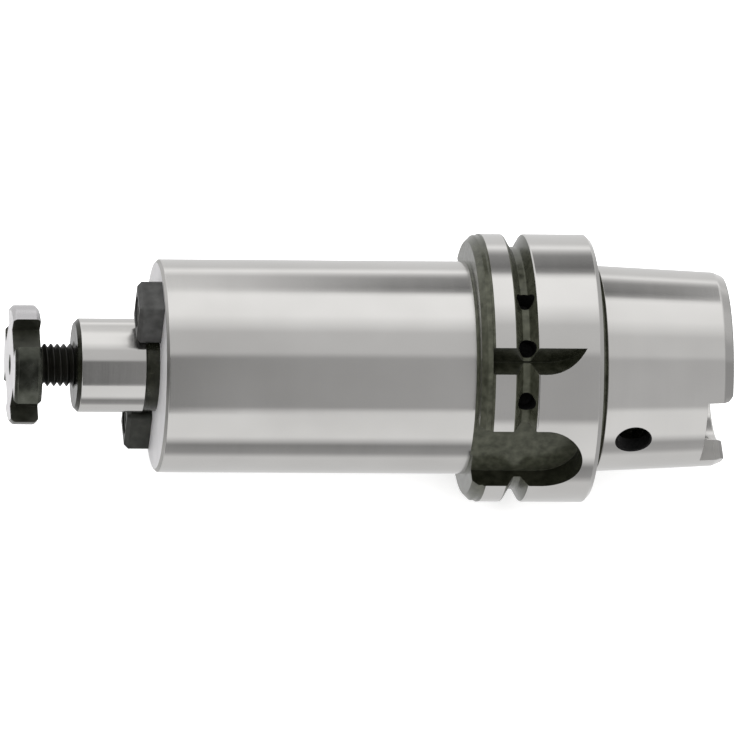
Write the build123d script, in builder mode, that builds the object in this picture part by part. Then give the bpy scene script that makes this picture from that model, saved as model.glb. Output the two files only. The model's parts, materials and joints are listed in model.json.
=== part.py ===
from build123d import *
import math
import os

os.makedirs("parts", exist_ok=True)

# A shell mill arbor with a hollow 1:10 taper shank. Its axis is X, the origin
# lies on the axis in the contact face, the taper points to +X and the cutter
# sits at the -X end. The deeper flange slot faces -Y, the drive keys face +Z
# and -Z. Lengths are in millimetres, angles in degrees round the axis, from
# -Y towards +Z.

# Hollow taper shank
taper_length = 32.0
taper_gauge_diameter = 48.01
taper_gauge_position = 6.3
taper_ratio = 9.98
lead_in_length = 2.2
lead_in_drop = 0.8
root_relief_length = 1.4
root_relief_depth = 0.55
contact_relief_width = 0.5
contact_relief_depth = 0.5
lip_bore_diameter = 34.0
clamp_shoulder_position = 18.13
clamp_shoulder_angle = 30.0
hollow_diameter = 40.0
hollow_floor_diameter = 28.0
hollow_cone_start = 6.0
hollow_floor_position = 0.0

# Drive slots in the taper's open end
end_slot_width = 12.54
end_slot_depth_front = 6.0
end_slot_depth_back = 10.0
end_slot_chamfer = 1.0

# Radial clamping holes through the taper wall
wall_hole_diameter = 7.5
wall_hole_sink_diameter = 8.7
wall_hole_position = 9.2

# Flange with its gripper groove
flange_diameter = 63.0
flange_width = 26.0
flange_edge_chamfer = 1.0
groove_position = 18.0
groove_width = 5.2
groove_depth = 3.0
groove_angle = 60.0
shoulder_width = 2.7
shoulder_drop = 0.3
shoulder_edge_chamfer = 1.4
shoulder_bevel = 0.4

# Slots, index notch and balance holes of the flange
flange_slot_width_front = 18.0
flange_slot_width_back = 16.0
flange_slot_end = 3.9
index_notch_opening = 6.2
index_notch_run_out = 13.6
index_notch_cutter_diameter = 25.0
index_notch_angle = 47.6
index_notch_floor_tilt = 2.6
balance_hole_diameter = 4.2
balance_hole_depth = 5.0
balance_hole_angles = (29.0, 53.8, 77.5)

# Body and pilot
gauge_length = 102.0
body_diameter = 50.0
body_chamfer = 0.7
pilot_diameter = 22.0
pilot_length = 19.2
pilot_chamfer = 1.0
pilot_relief_width = 3.2
pilot_relief_depth = 0.3

# Retaining screw, shown unscrewed from the pilot by screw_gap
screw_diameter = 10.0
screw_length = 25.0
screw_gap = 8.6
screw_fit = 0.05
screw_tip_chamfer = 1.2
screw_hole_depth = 30.0
screw_hole_chamfer = 0.6
screw_hole_point_depth = 0.6
head_diameter = 28.0
head_thickness = 6.5
head_edge_chamfer = 0.8
head_notch_width = 7.8
head_notch_floor_radius = 9.0
head_notch_count = 4
head_lobe_angle = 33.0

# Drive keys in shallow pockets of the cutter face
key_width = 10.0
key_height = 5.8
key_inner_radius = 11.8
key_outer_radius = 23.4
key_pocket_depth = 4.0
key_corner_radius = 1.2
key_chamfer = 1.0
key_fit = 0.02

# Socket screws that hold the keys
key_screw_diameter = 4.0
key_screw_length = 12.0
key_screw_head_diameter = 7.0
key_screw_head_height = 4.0
key_screw_head_sink = 0.4
key_screw_head_fit = 0.2
key_screw_shank_fit = 0.15
key_screw_thread_fit = 0.03
key_screw_socket_flats = 3.0
key_screw_socket_depth = 2.0
key_screw_edge_chamfer = 0.4

# Coolant tube, its union nut and its two seals
coolant_bore_diameter = 8.0
coolant_thread_diameter = 18.0
coolant_thread_fit = 0.05
tube_diameter = 12.0
tube_bore_diameter = 8.0
tube_neck_drop = 0.2
tube_neck_margin = 1.4
tube_tip_recess = 5.6
tube_tip_chamfer = 1.0
tube_collar_diameter = 16.4
tube_collar_thickness = 2.2
tube_pivot_depth = 11.0
nut_length = 9.0
nut_bore_clearance = 0.35
nut_slot_width = 3.0
nut_slot_depth = 3.0
nut_slot_count = 4
seal_section = 1.6
seal_room = 2.0
seal_tube_clearance = 0.3
seal_seat_gap = 0.02

# Values worked out from the sizes above
taper_slope = 1.0 / (2.0 * taper_ratio)
flange_radius = flange_diameter / 2.0
body_radius = body_diameter / 2.0
pilot_radius = pilot_diameter / 2.0
body_front = -gauge_length
pilot_front = body_front - pilot_length
shoulder_face = -(flange_width + shoulder_width)
head_back = pilot_front - screw_gap
head_front = head_back - head_thickness
screw_radius = screw_diameter / 2.0
screw_tip = head_back + screw_length
screw_hole_radius = screw_radius + screw_fit
screw_hole_end = pilot_front + screw_hole_depth
key_front = body_front - key_height
key_pocket_floor = body_front + key_pocket_depth
key_length = key_outer_radius - key_inner_radius
key_centre_radius = (key_outer_radius + key_inner_radius) / 2.0
key_screw_head_top = key_front + key_screw_head_sink
key_screw_seat = key_screw_head_top + key_screw_head_height
key_screw_tip = key_screw_seat + key_screw_length
tube_radius = tube_diameter / 2.0
tube_neck_radius = tube_radius - tube_neck_drop
tube_tip_position = taper_length - tube_tip_recess
tube_pivot_position = hollow_floor_position - tube_pivot_depth
collar_back = tube_pivot_position - tube_collar_thickness / 2.0
collar_front = tube_pivot_position + tube_collar_thickness / 2.0
socket_floor = collar_back - seal_room
nut_back = collar_front + seal_room
nut_mouth = nut_back + nut_length
cut_margin = 2.0


def taper_radius(position):
    """The outer radius of the taper at a distance from the contact face."""
    return taper_gauge_diameter / 2.0 - (position - taper_gauge_position) * taper_slope


def radial_direction(angle):
    """The unit vector that points away from the axis at an angle from -Y towards +Z."""
    turn = math.radians(angle)
    return Vector(0.0, -math.cos(turn), math.sin(turn))


def radial_plane(position, radius, angle):
    """A plane that faces away from the axis, at a position along it and a radius."""
    outward = radial_direction(angle)
    return Plane(origin=Vector(position, 0, 0) + outward * radius, x_dir=(1, 0, 0), z_dir=outward)


# The profile of the arbor body, from the screw hole's mouth over the outside
# to the open end of the taper, and back through the hollow
groove_root_radius = flange_radius - groove_depth
groove_top = groove_width / 2.0
groove_bottom = groove_top - groove_depth * math.tan(math.radians(groove_angle / 2.0))
clamp_cone_length = (hollow_diameter - lip_bore_diameter) / 2.0 / math.tan(math.radians(clamp_shoulder_angle))
relief_radius = taper_radius(root_relief_length) - root_relief_depth
coolant_socket_radius = coolant_thread_diameter / 2.0 + coolant_thread_fit
shoulder_radius = flange_radius - shoulder_drop
shoulder_corner = min(shoulder_bevel, (shoulder_radius - body_radius) / 2.0)
pilot_outline = [
    (pilot_front + screw_hole_chamfer, screw_hole_radius),
    (pilot_front, screw_hole_radius + screw_hole_chamfer),
    (pilot_front, pilot_radius - pilot_chamfer),
    (pilot_front + pilot_chamfer, pilot_radius),
    (body_front - pilot_relief_width, pilot_radius),
    (body_front - pilot_relief_width + pilot_relief_depth, pilot_radius - pilot_relief_depth),
    (body_front, pilot_radius - pilot_relief_depth),
]
flange_outline = [
    (body_front, body_radius - body_chamfer),
    (body_front + body_chamfer, body_radius),
    (shoulder_face - shoulder_corner, body_radius),
    (shoulder_face, body_radius + shoulder_corner),
    (shoulder_face, shoulder_radius - shoulder_edge_chamfer),
    (shoulder_face + shoulder_edge_chamfer, shoulder_radius),
    (-flange_width - shoulder_drop, shoulder_radius),
    (-flange_width, flange_radius),
    (-groove_position - groove_top, flange_radius),
    (-groove_position - groove_bottom, groove_root_radius),
    (-groove_position + groove_bottom, groove_root_radius),
    (-groove_position + groove_top, flange_radius),
    (-flange_edge_chamfer, flange_radius),
    (0, flange_radius - flange_edge_chamfer),
]
taper_outline = [
    (0, taper_radius(0) + contact_relief_width),
    (-contact_relief_depth, relief_radius),
    (root_relief_length, relief_radius),
    (root_relief_length + root_relief_depth, taper_radius(root_relief_length + root_relief_depth)),
    (taper_length - lead_in_length, taper_radius(taper_length - lead_in_length)),
    (taper_length, taper_radius(taper_length) - lead_in_drop),
    (taper_length, lip_bore_diameter / 2.0),
]
hollow_outline = [
    (clamp_shoulder_position, lip_bore_diameter / 2.0),
    (clamp_shoulder_position - clamp_cone_length, hollow_diameter / 2.0),
    (hollow_cone_start, hollow_diameter / 2.0),
    (hollow_floor_position, hollow_floor_diameter / 2.0),
    (hollow_floor_position, coolant_socket_radius),
    (socket_floor, coolant_socket_radius),
    (socket_floor, coolant_bore_diameter / 2.0),
    (screw_hole_end + screw_hole_point_depth, coolant_bore_diameter / 2.0),
    (screw_hole_end, screw_hole_radius),
]

# Index notch: a square corner that points at the axis, left by an end mill
# whose end face cuts the upper flank and whose side cuts the lower one
notch_half = index_notch_opening / 2.0
notch_apex_radius = math.sqrt(flange_radius**2 - notch_half**2) - notch_half
notch_turn = math.radians(index_notch_angle - index_notch_floor_tilt)
notch_floor = notch_apex_radius * math.cos(notch_turn)
notch_side = notch_apex_radius * math.sin(notch_turn)
notch_start = shoulder_face - cut_margin
notch_end = -index_notch_run_out

with BuildPart() as arbor_body:
    with BuildSketch(Plane.XZ):
        with BuildLine():
            Polyline(*pilot_outline, *flange_outline, *taper_outline, *hollow_outline, close=True)
        make_face()
    revolve(axis=Axis.X)

    # Flange slots with round ends, level with the body at their floor
    for angle, width in ((0.0, flange_slot_width_front), (180.0, flange_slot_width_back)):
        slot_start = shoulder_face - shoulder_corner
        slot_round = -flange_slot_end - width / 2.0
        with BuildSketch(radial_plane(0, body_radius, angle)):
            with Locations((slot_round, 0)):
                Circle(width / 2.0)
            with Locations(((slot_start + slot_round) / 2.0, 0)):
                Rectangle(slot_round - slot_start, width)
        extrude(amount=flange_radius - body_radius + cut_margin, mode=Mode.SUBTRACT)

    # Index notch between the slot and the upper key
    with BuildSketch(radial_plane(0, notch_floor, index_notch_floor_tilt)):
        with Locations((notch_end, notch_side + index_notch_cutter_diameter / 2.0)):
            Circle(index_notch_cutter_diameter / 2.0)
        with Locations(((notch_start + notch_end) / 2.0, notch_side + index_notch_cutter_diameter / 2.0)):
            Rectangle(notch_end - notch_start, index_notch_cutter_diameter)
    extrude(amount=flange_radius - notch_floor + cut_margin, mode=Mode.SUBTRACT)

    # Balance holes in the root of the gripper groove
    for angle in balance_hole_angles:
        with BuildSketch(radial_plane(-groove_position, flange_radius, angle)):
            Circle(balance_hole_diameter / 2.0)
        extrude(amount=-(flange_radius - groove_root_radius + balance_hole_depth), mode=Mode.SUBTRACT)

    # Clamping holes through the taper wall
    for angle in (0.0, 180.0):
        hole_surface = taper_radius(wall_hole_position)
        with Locations(radial_plane(wall_hole_position, hole_surface, angle)):
            CounterSinkHole(
                radius=wall_hole_diameter / 2.0,
                counter_sink_radius=wall_hole_sink_diameter / 2.0,
                depth=hole_surface - lip_bore_diameter / 2.0,
                counter_sink_angle=90,
            )

    # Drive slots across the taper's open end, chamfered at the mouth
    for angle, depth in ((0.0, end_slot_depth_front), (180.0, end_slot_depth_back)):
        half_slot = end_slot_width / 2.0
        mouth = taper_length + cut_margin
        with BuildSketch(radial_plane(0, lip_bore_diameter / 2.0 - cut_margin * 2.0, angle)):
            with BuildLine():
                Polyline(
                    (taper_length - depth, -half_slot),
                    (taper_length - end_slot_chamfer, -half_slot),
                    (mouth, -half_slot - end_slot_chamfer - cut_margin),
                    (mouth, half_slot + end_slot_chamfer + cut_margin),
                    (taper_length - end_slot_chamfer, half_slot),
                    (taper_length - depth, half_slot),
                    close=True,
                )
            make_face()
        extrude(amount=flange_radius, mode=Mode.SUBTRACT)

    # Key pockets and their tapped holes in the cutter face
    for side in (1.0, -1.0):
        with BuildSketch(Plane.YZ.offset(body_front)):
            with Locations((0, side * key_centre_radius)):
                RectangleRounded(key_width + 2 * key_fit, key_length + 2 * key_fit, key_corner_radius + key_fit)
        extrude(amount=key_pocket_depth, mode=Mode.SUBTRACT)
        with BuildSketch(Plane.YZ.offset(key_pocket_floor)):
            with Locations((0, side * key_centre_radius)):
                Circle(key_screw_diameter / 2.0 + key_screw_thread_fit)
        extrude(amount=key_screw_tip - key_pocket_floor + cut_margin, mode=Mode.SUBTRACT)
arbor_body.part.label = "arbor_body"
export_step(arbor_body.part, "parts/arbor_body.step")


def make_drive_key(side):
    """A drive key on the +Z or -Z side, with its counterbored screw hole."""
    with BuildPart() as key:
        with BuildSketch(Plane.YZ.offset(key_front)):
            with Locations((0, side * key_centre_radius)):
                RectangleRounded(key_width, key_length, key_corner_radius)
        extrude(amount=key_pocket_floor - key_front)
        chamfer(key.faces().sort_by(Axis.X)[0].edges(), length=key_chamfer)
        with Locations(Plane(origin=(key_front, 0, side * key_centre_radius), z_dir=(-1, 0, 0))):
            CounterBoreHole(
                radius=key_screw_diameter / 2.0 + key_screw_shank_fit,
                counter_bore_radius=key_screw_head_diameter / 2.0 + key_screw_head_fit,
                counter_bore_depth=key_screw_head_height + key_screw_head_sink,
                depth=key_pocket_floor - key_front,
            )
    return key.part


def make_key_screw(side):
    """A socket cap screw that holds a drive key down in its pocket."""
    with BuildPart() as screw:
        with BuildSketch(Plane.YZ.offset(key_screw_head_top)):
            with Locations((0, side * key_centre_radius)):
                Circle(key_screw_head_diameter / 2.0)
        extrude(amount=key_screw_head_height)
        chamfer(screw.edges().group_by(Axis.X)[0], length=key_screw_edge_chamfer)
        with BuildSketch(Plane.YZ.offset(key_screw_seat)):
            with Locations((0, side * key_centre_radius)):
                Circle(key_screw_diameter / 2.0)
        extrude(amount=key_screw_length)
        with BuildSketch(Plane.YZ.offset(key_screw_head_top)):
            with Locations((0, side * key_centre_radius)):
                RegularPolygon(radius=key_screw_socket_flats / 2.0, side_count=6, major_radius=False)
        extrude(amount=key_screw_socket_depth, mode=Mode.SUBTRACT)
    return screw.part


for side, name in ((1.0, "upper"), (-1.0, "lower")):
    drive_key = make_drive_key(side)
    drive_key.label = f"drive_key_{name}"
    export_step(drive_key, f"parts/drive_key_{name}.step")
    key_screw = make_key_screw(side)
    key_screw.label = f"key_screw_{name}"
    export_step(key_screw, f"parts/key_screw_{name}.step")

# The retaining screw: a castellated head on a screw that turns in the pilot
with BuildPart() as retaining_screw:
    with BuildSketch(Plane.XZ):
        with BuildLine():
            Polyline(
                (head_front, 0),
                (head_front, head_diameter / 2.0 - head_edge_chamfer),
                (head_front + head_edge_chamfer, head_diameter / 2.0),
                (head_back - head_edge_chamfer, head_diameter / 2.0),
                (head_back, head_diameter / 2.0 - head_edge_chamfer),
                (head_back, screw_radius),
                (screw_tip - screw_tip_chamfer, screw_radius),
                (screw_tip, screw_radius - screw_tip_chamfer),
                (screw_tip, 0),
                close=True,
            )
        make_face()
    revolve(axis=Axis.X)
    notch_pitch = 360.0 / head_notch_count
    notch_reach = head_diameter / 2.0 - head_notch_floor_radius + cut_margin
    for notch in range(head_notch_count):
        notch_angle = head_lobe_angle + notch_pitch * (notch + 0.5)
        with BuildSketch(radial_plane((head_front + head_back) / 2.0, head_notch_floor_radius, notch_angle)):
            Rectangle(head_thickness + cut_margin, head_notch_width)
        extrude(amount=notch_reach, mode=Mode.SUBTRACT)
retaining_screw.part.label = "retaining_screw"
export_step(retaining_screw.part, "parts/retaining_screw.step")

# The coolant tube: a collar at its foot floats between two seals, and a neck
# runs through the nut
neck_end = nut_mouth + tube_neck_margin
with BuildPart() as coolant_tube:
    with BuildSketch(Plane.XZ):
        with BuildLine():
            Polyline(
                (collar_back, tube_bore_diameter / 2.0),
                (collar_back, tube_collar_diameter / 2.0),
                (collar_front, tube_collar_diameter / 2.0),
                (collar_front, tube_neck_radius),
                (neck_end, tube_neck_radius),
                (neck_end, tube_radius),
                (tube_tip_position - tube_tip_chamfer, tube_radius),
                (tube_tip_position, tube_radius - tube_tip_chamfer),
                (tube_tip_position, tube_bore_diameter / 2.0),
                close=True,
            )
        make_face()
    revolve(axis=Axis.X)
coolant_tube.part.label = "coolant_tube"
export_step(coolant_tube.part, "parts/coolant_tube.step")

# The union nut that keeps the tube's collar in its socket
nut_bore_radius = tube_radius + nut_bore_clearance
with BuildPart() as coolant_nut:
    with BuildSketch(Plane.YZ.offset(nut_back)):
        Circle(coolant_thread_diameter / 2.0)
        Circle(nut_bore_radius, mode=Mode.SUBTRACT)
    extrude(amount=nut_length)
    for slot in range(nut_slot_count):
        slot_angle = 360.0 / nut_slot_count * (slot + 0.5)
        with BuildSketch(radial_plane(nut_mouth, 0, slot_angle)):
            Rectangle(nut_slot_depth * 2.0, nut_slot_width)
        extrude(amount=coolant_thread_diameter, mode=Mode.SUBTRACT)
coolant_nut.part.label = "coolant_nut"
export_step(coolant_nut.part, "parts/coolant_nut.step")

# The seals: one on the socket floor, one under the nut
seal_ring_radius = tube_neck_radius + seal_tube_clearance + seal_section / 2.0
inner_seal_position = socket_floor + seal_seat_gap + seal_section / 2.0
outer_seal_position = nut_back - seal_seat_gap - seal_section / 2.0
for position, name in ((inner_seal_position, "inner"), (outer_seal_position, "outer")):
    with BuildPart() as seal:
        with BuildSketch(Plane.XZ):
            with Locations((position, seal_ring_radius)):
                Rectangle(seal_section, seal_section)
        revolve(axis=Axis.X)
    seal.part.label = f"coolant_seal_{name}"
    export_step(seal.part, f"parts/coolant_seal_{name}.step")
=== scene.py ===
import json
import math

import bmesh
import bpy
from mathutils import Matrix, Vector


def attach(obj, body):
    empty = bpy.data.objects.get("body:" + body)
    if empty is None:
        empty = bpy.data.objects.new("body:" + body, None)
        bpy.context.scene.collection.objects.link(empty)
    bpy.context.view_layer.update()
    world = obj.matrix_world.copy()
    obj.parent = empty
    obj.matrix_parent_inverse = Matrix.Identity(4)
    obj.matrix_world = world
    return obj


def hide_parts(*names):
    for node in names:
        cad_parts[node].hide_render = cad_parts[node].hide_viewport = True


# A shell mill arbor with a hollow taper shank. Its axis is X, with the origin
# in the contact face, the taper at +X and the cutter end at -X. Lengths are in
# millimetres and are scaled by MM where a mesh is made. Angles round the axis
# run from -Y towards +Z, in degrees.

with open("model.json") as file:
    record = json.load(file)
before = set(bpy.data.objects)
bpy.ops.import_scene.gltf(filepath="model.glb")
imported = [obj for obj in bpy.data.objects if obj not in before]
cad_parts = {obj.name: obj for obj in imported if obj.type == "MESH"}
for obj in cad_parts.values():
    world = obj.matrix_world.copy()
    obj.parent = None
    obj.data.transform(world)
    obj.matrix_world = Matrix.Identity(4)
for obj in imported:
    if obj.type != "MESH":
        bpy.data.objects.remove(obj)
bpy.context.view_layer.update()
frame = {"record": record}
MM = 0.001

# Sizes of the arbor body as it is turned
FLANGE_RADIUS = 31.5
SHOULDER_RADIUS = 31.2
BODY_RADIUS = 25.0
PILOT_RADIUS = 11.0
BODY_FRONT = -102.0
PILOT_FRONT = BODY_FRONT - 19.2
PILOT_CHAMFER = 1.0
PILOT_UNDERCUT_START = BODY_FRONT - 3.2
PILOT_UNDERCUT_DEPTH = 0.3
SHOULDER_FACE = -28.7
SHOULDER_CHAMFER = 1.4
SHOULDER_BEVEL = 0.4
COLLAR_FACE = -26.0
COLLAR_BEVEL = 0.3
COLLAR_GRIND = -25.6
GROOVE_CENTRE = -18.0
GROOVE_HALF_TOP = 2.6
GROOVE_HALF_ROOT = 0.87
GROOVE_ROOT_RADIUS = 28.5
CONTACT_FACE = 0.0
FLANGE_CHAMFER = 1.0
FACE_CORNER = 0.5
TAPER_END = 32.0
TAPER_RADIUS_AT_FACE = 24.32
TAPER_SLOPE = 0.0501
TAPER_LEAD_LENGTH = 2.2
TAPER_LEAD_DEPTH = 0.8
LIP_RADIUS = 17.0
LIP_BACK = 18.13
HOLLOW_RADIUS = 20.0
HOLLOW_FRONT = 12.93
HOLLOW_BACK = 6.0
HOLLOW_FLOOR_RADIUS = 14.0
SOCKET_RADIUS = 9.05
SOCKET_FLOOR = -14.1
COOLANT_BORE_RADIUS = 4.0
SCREW_HOLE_RADIUS = 5.05
SCREW_HOLE_SINK = 0.6
SCREW_HOLE_END = PILOT_FRONT + 30.0
BODY_CHAMFER = 0.7
RELIEF_END = 1.4
RELIEF_DEPTH = 0.55

# How far a cutter reaches past the surface that it opens
CUT_MARGIN = 1.0
PRISM_MARGIN = 2.0

# Round-ended slots, index notch and balance holes of the flange
SLOT_FLOOR_RADIUS = 25.0
SLOT_END = -3.9
SLOT_WIDTHS = {0.0: 18.0, 180.0: 16.0}
NOTCH_START = COLLAR_FACE - 0.2
NOTCH_FLOOR = 19.96
NOTCH_RUN_OUT = -13.6
NOTCH_CUTTER_RADIUS = 12.5
NOTCH_TILT = 2.6
BALANCE_HOLE_ANGLES = (29.0, 53.8, 77.5)
BALANCE_HOLE_RADIUS = 2.1
BALANCE_HOLE_DEPTH = 5.0
BALANCE_HOLE_POINT = 1.2

# Clamping holes through the wall of the taper, and the drive slots in its open end
WALL_HOLE_ANGLES = (0.0, 180.0)
WALL_HOLE_POSITION = 9.2
WALL_HOLE_RADIUS = 3.75
WALL_HOLE_SINK_RADIUS = 4.35
END_SLOT_HALF_WIDTH = 9.4
END_SLOT_DEPTHS = {0.0: 6.0, 180.0: 10.0}
END_SLOT_CHAMFER = 1.0
END_SLOT_FLOOR_RADIUS = LIP_RADIUS - 6.0

# Drive keys and their screws
KEY_WIDTH = 10.0
KEY_LENGTH = 11.6
KEY_CENTRE_RADIUS = 17.6
KEY_FRONT = BODY_FRONT - 5.8
KEY_BACK = BODY_FRONT + 4.0
KEY_CORNER = 1.2
KEY_CHAMFER = 1.0
KEY_CLEARANCE = 0.02
KEY_HEAD_BORE_RADIUS = 3.7
KEY_HEAD_BORE_DEPTH = 4.4
KEY_SCREW_TOP = KEY_FRONT + 0.4
KEY_SCREW_HEAD_RADIUS = 3.5
KEY_SCREW_HEAD_HEIGHT = 4.0
KEY_SCREW_HEAD_CHAMFER = 0.4
KEY_SCREW_SHANK_RADIUS = 2.0
KEY_SCREW_CLEARANCE = 0.15
KEY_SCREW_TIP = KEY_FRONT + 16.4
KEY_SCREW_TIP_CHAMFER = 0.5
KEY_SCREW_SOCKET_FLATS = 3.0
KEY_SCREW_SOCKET_DEPTH = 2.0

# Retaining screw
HEAD_RADIUS = 14.0
HEAD_BACK = PILOT_FRONT - 8.6
HEAD_FRONT = HEAD_BACK - 6.5
HEAD_EDGE = 0.8
HEAD_NOTCH_WIDTH = 7.8
HEAD_NOTCH_FLOOR = 9.0
HEAD_LOBE_ANGLE = 33.0
HEAD_NOTCH_COUNT = 4
HEAD_RIM, HEAD_FACE = 1, 2
CENTRE_HOLE_DEPTH = 2.2
CENTRE_HOLE_SINK_DEPTH = 0.9
CENTRE_HOLE_RADIUS = 1.2
CENTRE_HOLE_SINK_RADIUS = 2.6
# One lobe of the head is painted light grey as a highlight: its angle, and the distances from the axis
# over which the grey comes in
HIGHLIGHT_LOBE_ANGLE = HEAD_LOBE_ANGLE + 90.0
HIGHLIGHT_FROM = 9.0
HIGHLIGHT_TO = 9.8
SCREW_TIP = HEAD_BACK + 25.0
THREAD_CREST_RADIUS = 5.0
THREAD_ROOT_RADIUS = 4.12
THREAD_PITCH = 1.5
THREAD_HALF_FLAT = THREAD_PITCH * 0.06
THREAD_ROOT_CORNER = 0.1
THREAD_CORE_RADIUS = THREAD_ROOT_RADIUS - 0.02
THREAD_RUN_OUT_SLOPE = 0.6
THREAD_TIP_SLOPE = 0.9
THREAD_TIP_DEPTH = 0.4

# Coolant set
TUBE_RADIUS = 6.0
TUBE_NECK_RADIUS = 5.8
TUBE_BORE_RADIUS = 4.0
TUBE_BACK = -12.1
TUBE_COLLAR_RADIUS = 8.2
TUBE_COLLAR_FRONT = -9.9
TUBE_NECK_END = 2.5
TUBE_TIP = 26.4
TUBE_TIP_CHAMFER = 1.0
NUT_BACK = -7.9
NUT_MOUTH = 1.1
NUT_RADIUS = 9.0
NUT_BORE_RADIUS = 6.35
NUT_SLOT_WIDTH = 3.0
NUT_SLOT_DEPTH = 3.0
NUT_SLOT_COUNT = 4
NUT_SLOT_ANGLE = 45.0
SEAL_RADIUS = 0.8
SEAL_RING_RADIUS = 6.9
SEAL_POSITIONS = {"inner": -13.28, "outer": -8.72}

# Mesh resolution
TURNED_SEGMENTS = 256
HEAD_SEGMENTS = 192
SMALL_SEGMENTS = 96
HOLE_SEGMENTS = 72
CORNER_STEPS = 8
ROUND_STEPS = 3
ROUND_SHARE = 0.45
THREAD_STEPS = 64
SEAL_STEPS = 16
FLAT_TOLERANCE = 0.03
TURNED_MATCH = 0.9995
SMOOTH_ANGLE = math.radians(35.0)

# Finishes of the arbor body, by slot of its mesh. The milled finish is a darker copy of unground steel
# and the drilled finish is nearly black: both are painted shade in the recesses, the holes and the gap
# between the pilot and the screw head.
GROUND, UNGROUND, TURNED, MILLED_SHADE, SATIN, DRILLED_SHADE = range(6)
RELIEF_HEIGHT = 0.02
EDGE_SAMPLES = 6


def taper_radius(position):
    """The outer radius of the taper at a distance from the contact face."""
    return TAPER_RADIUS_AT_FACE - position * TAPER_SLOPE


def radial_frame(angle, position=0.0, radius=0.0):
    """A matrix at a place on or off the axis: local X runs along the axis, local Z away from it."""
    turn = math.radians(angle)
    outward = Vector((0.0, -math.cos(turn), math.sin(turn)))
    along = Vector((1.0, 0.0, 0.0))
    across = outward.cross(along)
    place = Vector((position, 0.0, 0.0)) + outward * radius
    rotation = Matrix((along, across, outward)).transposed().to_4x4()
    return Matrix.Translation(place * MM) @ rotation


def axial_frame(position, height=0.0):
    """A matrix whose local Z runs along the axis, at a position and a height over it."""
    rotation = Matrix(((0.0, 0.0, 1.0), (1.0, 0.0, 0.0), (0.0, 1.0, 0.0))).to_4x4()
    return Matrix.Translation(Vector((position, 0.0, height)) * MM) @ rotation


def ring_points(x, radius, segments):
    """A ring of points round the local X axis, in metres."""
    points = []
    for segment in range(segments):
        turn = 2.0 * math.pi * segment / segments
        points.append(Vector((x, radius * math.cos(turn), radius * math.sin(turn))) * MM)
    return points


def cut_corner(corner, other, radius):
    """The point where the rounding of a corner meets the side that leads to another corner."""
    side = other - corner
    return corner + side.normalized() * min(radius, side.length * ROUND_SHARE)


def round_corners(profile, closed):
    """Replaces each corner (x, r, finish, radius) that has a radius by a few points on a curve."""
    points = []
    count = len(profile)
    for index, (x, r, finish, radius) in enumerate(profile):
        at_end = not closed and index in (0, count - 1)
        if radius == 0.0 or at_end:
            points.append((x, r, finish))
            continue
        corner = Vector((x, r))
        start = cut_corner(corner, Vector(profile[index - 1][:2]), radius)
        end = cut_corner(corner, Vector(profile[(index + 1) % count][:2]), radius)
        for step in range(ROUND_STEPS + 1):
            share = step / ROUND_STEPS
            point = start.lerp(corner, share).lerp(corner.lerp(end, share), share)
            points.append((point.x, point.y, finish))
    return points


def add_turned(mesh, profile, matrix, segments, closed=False):
    """Adds a body of revolution: (x, r, finish) points turned round the local X axis."""
    rings = []
    for x, r, _ in profile:
        if r == 0.0:
            centre = mesh.verts.new(matrix @ (Vector((x, 0.0, 0.0)) * MM))
            rings.append([centre] * segments)
            continue
        rings.append([mesh.verts.new(matrix @ point) for point in ring_points(x, r, segments)])
    last = len(rings) if closed else len(rings) - 1
    for index in range(last):
        ring = rings[index]
        following = rings[(index + 1) % len(rings)]
        for segment in range(segments):
            turned = (segment + 1) % segments
            corners = []
            for corner in (ring[segment], ring[turned], following[turned], following[segment]):
                if corner not in corners:
                    corners.append(corner)
            if len(corners) > 2:
                face = mesh.faces.new(corners)
                face.material_index = profile[index][2]


def outline_vertices(mesh, outline, matrix, height=0.0):
    """Adds the vertices of an outline that lies at a height over the local XY plane."""
    return [mesh.verts.new(matrix @ (Vector((x, y, height)) * MM)) for x, y in outline]


def add_prism(mesh, outline, matrix, depth, finish, floor_finish=None):
    """Adds a prism: an outline in the local XY plane, extruded along local Z."""
    floor = outline_vertices(mesh, outline, matrix)
    top = outline_vertices(mesh, outline, matrix, depth)
    faces = [mesh.faces.new(list(reversed(floor))), mesh.faces.new(top)]
    for index in range(len(outline)):
        following = (index + 1) % len(outline)
        faces.append(mesh.faces.new((floor[index], floor[following], top[following], top[index])))
    for face in faces:
        face.material_index = finish
    if floor_finish is not None:
        faces[0].material_index = floor_finish


def arc(centre_x, centre_y, radius, start, end, steps):
    """Points on an arc, in degrees, both ends included."""
    points = []
    for step in range(steps + 1):
        turn = math.radians(start + (end - start) * step / steps)
        points.append((centre_x + radius * math.cos(turn), centre_y + radius * math.sin(turn)))
    return points


def make_piece(name, mesh, materials):
    """Turns a bmesh into an object with outward faces and the given materials."""
    bmesh.ops.recalc_face_normals(mesh, faces=mesh.faces)
    data = bpy.data.meshes.new(name)
    mesh.to_mesh(data)
    mesh.free()
    for material in materials:
        data.materials.append(material)
    piece = bpy.data.objects.new(name, data)
    bpy.context.scene.collection.objects.link(piece)
    return piece


def subtract(piece, cutters):
    """Cuts a bmesh of separate cutters out of a piece."""
    tool = make_piece(piece.name + "_cutters", cutters, [])
    modifier = piece.modifiers.new("cuts", "BOOLEAN")
    modifier.object = tool
    modifier.operation = "DIFFERENCE"
    modifier.solver = "EXACT"
    graph = bpy.context.evaluated_depsgraph_get()
    cut = bpy.data.meshes.new_from_object(piece.evaluated_get(graph))
    piece.modifiers.clear()
    piece.data = cut
    bpy.data.objects.remove(tool)


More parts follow.
